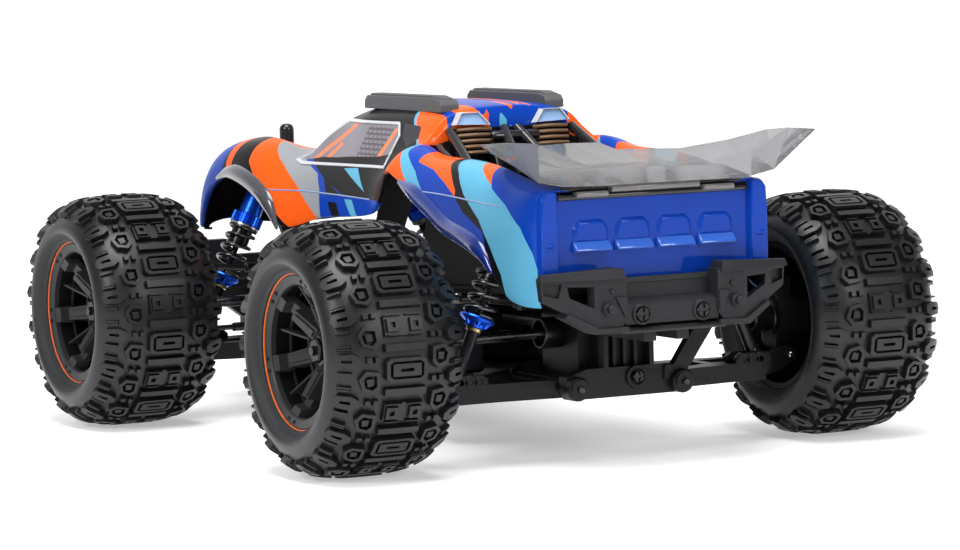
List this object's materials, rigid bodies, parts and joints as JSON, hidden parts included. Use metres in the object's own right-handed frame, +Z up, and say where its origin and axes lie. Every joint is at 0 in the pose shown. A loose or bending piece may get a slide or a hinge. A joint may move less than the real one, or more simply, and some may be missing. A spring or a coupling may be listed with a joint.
{
  "type": "radio-controlled monster truck",
  "caption": "Off-road radio-controlled monster truck with lugged tyres, independent sprung suspension, linked steering, coupled drive to all wheels and a lift-off painted body with a clear wing",
  "frame": {"origin": "on the ground under the middle of the truck, at the centre of the bounding box's bottom", "axes": "+X to the front of the truck, +Y to its left, +Z up"},
  "size_m": [0.406, 0.297, 0.1554],
  "materials": {
    "tyre": "soft matt black tread rubber",
    "wheel_plastic": "satin black moulded plastic",
    "black_plastic": "moulded black nylon with a fine grain",
    "textured_plastic": "spark-textured dark plastic",
    "black_steel": "black oxide steel",
    "steel": "turned steel",
    "blue_aluminium": "blue anodised aluminium over a black oil cylinder",
    "motor_can": "black motor can",
    "electronics_case": "smooth black plastic case",
    "battery_wrap": "dark shrink wrap",
    "body_paint": "glossy painted polycarbonate in blue, orange, light blue and black",
    "smoked_clear": "smoked clear polycarbonate"
  },
  "bodies": {
    "chassis": {"chassis_tub": "black_plastic", "front_gearbox": "black_plastic", "rear_gearbox": "black_plastic", "front_shock_tower": "black_plastic", "rear_shock_tower": "black_plastic", "front_bumper": "textured_plastic", "rear_bumper": "textured_plastic", "battery": "battery_wrap", "speed_controller": "electronics_case", "servo": "electronics_case", "motor": "motor_can"},
    "body": {"body_shell": "body_paint", "wing": "smoked_clear", "roof_skid_left": "black_plastic", "roof_skid_right": "black_plastic"},
    "arm_front_left": {"lower_arm_front_left": "black_plastic"},
    "carrier_front_left": {"caster_left": "black_plastic"},
    "camber_link_front_left": {"camber_link_front_left": "black_steel"},
    "shock_body_front_left": {"shock_body_front_left": "blue_aluminium", "spring_front_left": "black_steel"},
    "shock_rod_front_left": {"shock_rod_front_left": "steel"},
    "drive_shaft_front_left": {"drive_shaft_front_left": "steel"},
    "knuckle_left": {"knuckle_left": "black_plastic"},
    "wheel_front_left": {"wheel_front_left": "wheel_plastic", "tyre_front_left": "tyre"},
    "arm_front_right": {"lower_arm_front_right": "black_plastic"},
    "carrier_front_right": {"caster_right": "black_plastic"},
    "camber_link_front_right": {"camber_link_front_right": "black_steel"},
    "shock_body_front_right": {"shock_body_front_right": "blue_aluminium", "spring_front_right": "black_steel"},
    "shock_rod_front_right": {"shock_rod_front_right": "steel"},
    "drive_shaft_front_right": {"drive_shaft_front_right": "steel"},
    "knuckle_right": {"knuckle_right": "black_plastic"},
    "wheel_front_right": {"wheel_front_right": "wheel_plastic", "tyre_front_right": "tyre"},
    "arm_rear_left": {"lower_arm_rear_left": "black_plastic"},
    "carrier_rear_left": {"rear_hub_left": "black_plastic"},
    "camber_link_rear_left": {"camber_link_rear_left": "black_steel"},
    "shock_body_rear_left": {"shock_body_rear_left": "blue_aluminium", "spring_rear_left": "black_steel"},
    "shock_rod_rear_left": {"shock_rod_rear_left": "steel"},
    "drive_shaft_rear_left": {"drive_shaft_rear_left": "steel"},
    "wheel_rear_left": {"wheel_rear_left": "wheel_plastic", "tyre_rear_left": "tyre"},
    "arm_rear_right": {"lower_arm_rear_right": "black_plastic"},
    "carrier_rear_right": {"rear_hub_right": "black_plastic"},
    "camber_link_rear_right": {"camber_link_rear_right": "black_steel"},
    "shock_body_rear_right": {"shock_body_rear_right": "blue_aluminium", "spring_rear_right": "black_steel"},
    "shock_rod_rear_right": {"shock_rod_rear_right": "steel"},
    "drive_shaft_rear_right": {"drive_shaft_rear_right": "steel"},
    "wheel_rear_right": {"wheel_rear_right": "wheel_plastic", "tyre_rear_right": "tyre"},
    "steering_link": {"steering_link": "black_plastic"},
    "servo_horn": {"servo_horn": "black_plastic"},
    "tie_rod_left": {"tie_rod_left": "black_steel"},
    "tie_rod_right": {"tie_rod_right": "black_steel"},
    "centre_shaft": {"centre_shaft": "steel", "spur_gear": "black_plastic"},
    "pinion": {"pinion_gear": "steel"}
  },
  "joints": [
    {"name": "body_lift", "type": "slide", "parent": "chassis", "child": "body", "axis": [0, 0, 1], "range_m": [0, 0.06]},
    {"name": "suspension_front_left", "type": "hinge", "parent": "chassis", "child": "arm_front_left", "pos_m": [0.124, 0.026, 0.033], "axis": [1, 0, 0], "range_deg": [0, 18], "stiffness_Nm_per_rad": 2, "springref_deg": -17.19},
    {"name": "carrier_pivot_front_left", "type": "hinge", "parent": "arm_front_left", "child": "carrier_front_left", "pos_m": [0.124, 0.094, 0.038], "axis": [1, 0, 0], "range_deg": [-17.12, 0]},
    {"name": "camber_pivot_front_left", "type": "hinge", "parent": "chassis", "child": "camber_link_front_left", "pos_m": [0.112, 0.03, 0.069], "axis": [1, 0, 0], "range_deg": [0, 21.07]},
    {"name": "shock_pivot_front_left", "type": "hinge", "parent": "chassis", "child": "shock_body_front_left", "pos_m": [0.136, 0.036, 0.116], "axis": [1, 0, 0], "range_deg": [0, 3.21]},
    {"name": "shock_stroke_front_left", "type": "slide", "parent": "shock_body_front_left", "child": "shock_rod_front_left", "axis": [0, -0.4472, 0.8944], "range_m": [0, 0.01562], "deforming": ["spring_front_left"]},
    {"name": "shaft_swing_front_left", "type": "hinge", "parent": "chassis", "child": "drive_shaft_front_left", "pos_m": [0.124, 0.024, 0.055], "axis": [1, 0, 0], "range_deg": [0, 19.34]},
    {"name": "steering_left", "type": "hinge", "parent": "carrier_front_left", "child": "knuckle_left", "pos_m": [0.124, 0.102, 0.055], "axis": [0, 0, 1], "range_deg": [-20, 20]},
    {"name": "wheel_spin_front_left", "type": "hinge", "parent": "knuckle_left", "child": "wheel_front_left", "pos_m": [0.124, 0.119, 0.055], "axis": [0, 1, 0], "continuous": true},
    {"name": "suspension_front_right", "type": "hinge", "parent": "chassis", "child": "arm_front_right", "pos_m": [0.124, -0.026, 0.033], "axis": [-1, 0, 0], "range_deg": [0, 18], "stiffness_Nm_per_rad": 2, "springref_deg": -17.19},
    {"name": "carrier_pivot_front_right", "type": "hinge", "parent": "arm_front_right", "child": "carrier_front_right", "pos_m": [0.124, -0.094, 0.038], "axis": [-1, 0, 0], "range_deg": [-17.12, 0]},
    {"name": "camber_pivot_front_right", "type": "hinge", "parent": "chassis", "child": "camber_link_front_right", "pos_m": [0.112, -0.03, 0.069], "axis": [-1, 0, 0], "range_deg": [0, 21.07]},
    {"name": "shock_pivot_front_right", "type": "hinge", "parent": "chassis", "child": "shock_body_front_right", "pos_m": [0.136, -0.036, 0.116], "axis": [-1, 0, 0], "range_deg": [0, 3.21]},
    {"name": "shock_stroke_front_right", "type": "slide", "parent": "shock_body_front_right", "child": "shock_rod_front_right", "axis": [0, 0.4472, 0.8944], "range_m": [0, 0.01562], "deforming": ["spring_front_right"]},
    {"name": "shaft_swing_front_right", "type": "hinge", "parent": "chassis", "child": "drive_shaft_front_right", "pos_m": [0.124, -0.024, 0.055], "axis": [-1, 0, 0], "range_deg": [0, 19.34]},
    {"name": "steering_right", "type": "hinge", "parent": "carrier_front_right", "child": "knuckle_right", "pos_m": [0.124, -0.102, 0.055], "axis": [0, 0, 1], "range_deg": [-20.6, 20.6]},
    {"name": "wheel_spin_front_right", "type": "hinge", "parent": "knuckle_right", "child": "wheel_front_right", "pos_m": [0.124, -0.119, 0.055], "axis": [0, 1, 0], "continuous": true},
    {"name": "suspension_rear_left", "type": "hinge", "parent": "chassis", "child": "arm_rear_left", "pos_m": [-0.124, 0.026, 0.033], "axis": [1, 0, 0], "range_deg": [0, 18], "stiffness_Nm_per_rad": 2, "springref_deg": -17.19},
    {"name": "carrier_pivot_rear_left", "type": "hinge", "parent": "arm_rear_left", "child": "carrier_rear_left", "pos_m": [-0.124, 0.094, 0.038], "axis": [1, 0, 0], "range_deg": [-17.12, 0]},
    {"name": "camber_pivot_rear_left", "type": "hinge", "parent": "chassis", "child": "camber_link_rear_left", "pos_m": [-0.112, 0.03, 0.069], "axis": [1, 0, 0], "range_deg": [0, 21.07]},
    {"name": "shock_pivot_rear_left", "type": "hinge", "parent": "chassis", "child": "shock_body_rear_left", "pos_m": [-0.136, 0.042, 0.116], "axis": [1, 0, 0], "range_deg": [0, 2.49]},
    {"name": "shock_stroke_rear_left", "type": "slide", "parent": "shock_body_rear_left", "child": "shock_rod_rear_left", "axis": [0, -0.3896, 0.921], "range_m": [0, 0.01562], "deforming": ["spring_rear_left"]},
    {"name": "shaft_swing_rear_left", "type": "hinge", "parent": "chassis", "child": "drive_shaft_rear_left", "pos_m": [-0.124, 0.024, 0.055], "axis": [1, 0, 0], "range_deg": [0, 19.34]},
    {"name": "wheel_spin_rear_left", "type": "hinge", "parent": "carrier_rear_left", "child": "wheel_rear_left", "pos_m": [-0.124, 0.119, 0.055], "axis": [0, 1, 0], "continuous": true},
    {"name": "suspension_rear_right", "type": "hinge", "parent": "chassis", "child": "arm_rear_right", "pos_m": [-0.124, -0.026, 0.033], "axis": [-1, 0, 0], "range_deg": [0, 18], "stiffness_Nm_per_rad": 2, "springref_deg": -17.19},
    {"name": "carrier_pivot_rear_right", "type": "hinge", "parent": "arm_rear_right", "child": "carrier_rear_right", "pos_m": [-0.124, -0.094, 0.038], "axis": [-1, 0, 0], "range_deg": [-17.12, 0]},
    {"name": "camber_pivot_rear_right", "type": "hinge", "parent": "chassis", "child": "camber_link_rear_right", "pos_m": [-0.112, -0.03, 0.069], "axis": [-1, 0, 0], "range_deg": [0, 21.07]},
    {"name": "shock_pivot_rear_right", "type": "hinge", "parent": "chassis", "child": "shock_body_rear_right", "pos_m": [-0.136, -0.042, 0.116], "axis": [-1, 0, 0], "range_deg": [0, 2.49]},
    {"name": "shock_stroke_rear_right", "type": "slide", "parent": "shock_body_rear_right", "child": "shock_rod_rear_right", "axis": [0, 0.3896, 0.921], "range_m": [0, 0.01562], "deforming": ["spring_rear_right"]},
    {"name": "shaft_swing_rear_right", "type": "hinge", "parent": "chassis", "child": "drive_shaft_rear_right", "pos_m": [-0.124, -0.024, 0.055], "axis": [-1, 0, 0], "range_deg": [0, 19.34]},
    {"name": "wheel_spin_rear_right", "type": "hinge", "parent": "carrier_rear_right", "child": "wheel_rear_right", "pos_m": [-0.124, -0.119, 0.055], "axis": [0, 1, 0], "continuous": true},
    {"name": "steering_link_slide", "type": "slide", "parent": "chassis", "child": "steering_link", "axis": [0, 1, 0], "range_m": [-0.0074, 0.0074]},
    {"name": "servo_turn", "type": "hinge", "parent": "chassis", "child": "servo_horn", "pos_m": [0.084, -0.012, 0.045], "axis": [0, 0, 1], "range_deg": [-28, 28]},
    {"name": "tie_rod_swing_left", "type": "hinge", "parent": "steering_link", "child": "tie_rod_left", "pos_m": [0.104, 0.035, 0.0445], "axis": [1, 0, 0], "range_deg": [0, 19.27]},
    {"name": "tie_rod_swing_right", "type": "hinge", "parent": "steering_link", "child": "tie_rod_right", "pos_m": [0.104, -0.035, 0.0445], "axis": [-1, 0, 0], "range_deg": [0, 19.27]},
    {"name": "centre_shaft_spin", "type": "hinge", "parent": "chassis", "child": "centre_shaft", "pos_m": [0, 0, 0.055], "axis": [1, 0, 0], "continuous": true},
    {"name": "pinion_spin", "type": "hinge", "parent": "chassis", "child": "pinion", "pos_m": [-0.041, -0.023, 0.04731], "axis": [1, 0, 0], "continuous": true}
  ],
  "couplings": [
    {"joint": "carrier_pivot_front_left", "follows": "suspension_front_left", "ratio": -0.918},
    {"joint": "camber_pivot_front_left", "follows": "suspension_front_left", "ratio": 1.137},
    {"joint": "shock_pivot_front_left", "follows": "suspension_front_left", "ratio": 0.145},
    {"joint": "shock_stroke_front_left", "follows": "suspension_front_left", "m_per_rad": 0.0478},
    {"joint": "shaft_swing_front_left", "follows": "suspension_front_left", "ratio": 1.041},
    {"joint": "wheel_spin_front_left", "follows": "wheel_spin_rear_left", "ratio": 1},
    {"joint": "carrier_pivot_front_right", "follows": "suspension_front_right", "ratio": -0.918},
    {"joint": "camber_pivot_front_right", "follows": "suspension_front_right", "ratio": 1.137},
    {"joint": "shock_pivot_front_right", "follows": "suspension_front_right", "ratio": 0.145},
    {"joint": "shock_stroke_front_right", "follows": "suspension_front_right", "m_per_rad": 0.0478},
    {"joint": "shaft_swing_front_right", "follows": "suspension_front_right", "ratio": 1.041},
    {"joint": "steering_right", "follows": "steering_left", "ratio": 1},
    {"joint": "wheel_spin_front_right", "follows": "wheel_spin_rear_left", "ratio": 1},
    {"joint": "carrier_pivot_rear_left", "follows": "suspension_rear_left", "ratio": -0.918},
    {"joint": "camber_pivot_rear_left", "follows": "suspension_rear_left", "ratio": 1.137},
    {"joint": "shock_pivot_rear_left", "follows": "suspension_rear_left", "ratio": 0.105},
    {"joint": "shock_stroke_rear_left", "follows": "suspension_rear_left", "m_per_rad": 0.0478},
    {"joint": "shaft_swing_rear_left", "follows": "suspension_rear_left", "ratio": 1.041},
    {"joint": "carrier_pivot_rear_right", "follows": "suspension_rear_right", "ratio": -0.918},
    {"joint": "camber_pivot_rear_right", "follows": "suspension_rear_right", "ratio": 1.137},
    {"joint": "shock_pivot_rear_right", "follows": "suspension_rear_right", "ratio": 0.105},
    {"joint": "shock_stroke_rear_right", "follows": "suspension_rear_right", "m_per_rad": 0.0478},
    {"joint": "shaft_swing_rear_right", "follows": "suspension_rear_right", "ratio": 1.041},
    {"joint": "wheel_spin_rear_right", "follows": "wheel_spin_rear_left", "ratio": 1},
    {"joint": "steering_link_slide", "follows": "steering_left", "m_per_rad": -0.0197},
    {"joint": "servo_turn", "follows": "steering_left", "ratio": -1.35},
    {"joint": "tie_rod_swing_left", "follows": "suspension_front_left", "ratio": 1.037},
    {"joint": "tie_rod_swing_right", "follows": "suspension_front_right", "ratio": 1.037},
    {"joint": "centre_shaft_spin", "follows": "wheel_spin_rear_left", "ratio": 3},
    {"joint": "pinion_spin", "follows": "wheel_spin_rear_left", "ratio": -9.8571}
  ]
}
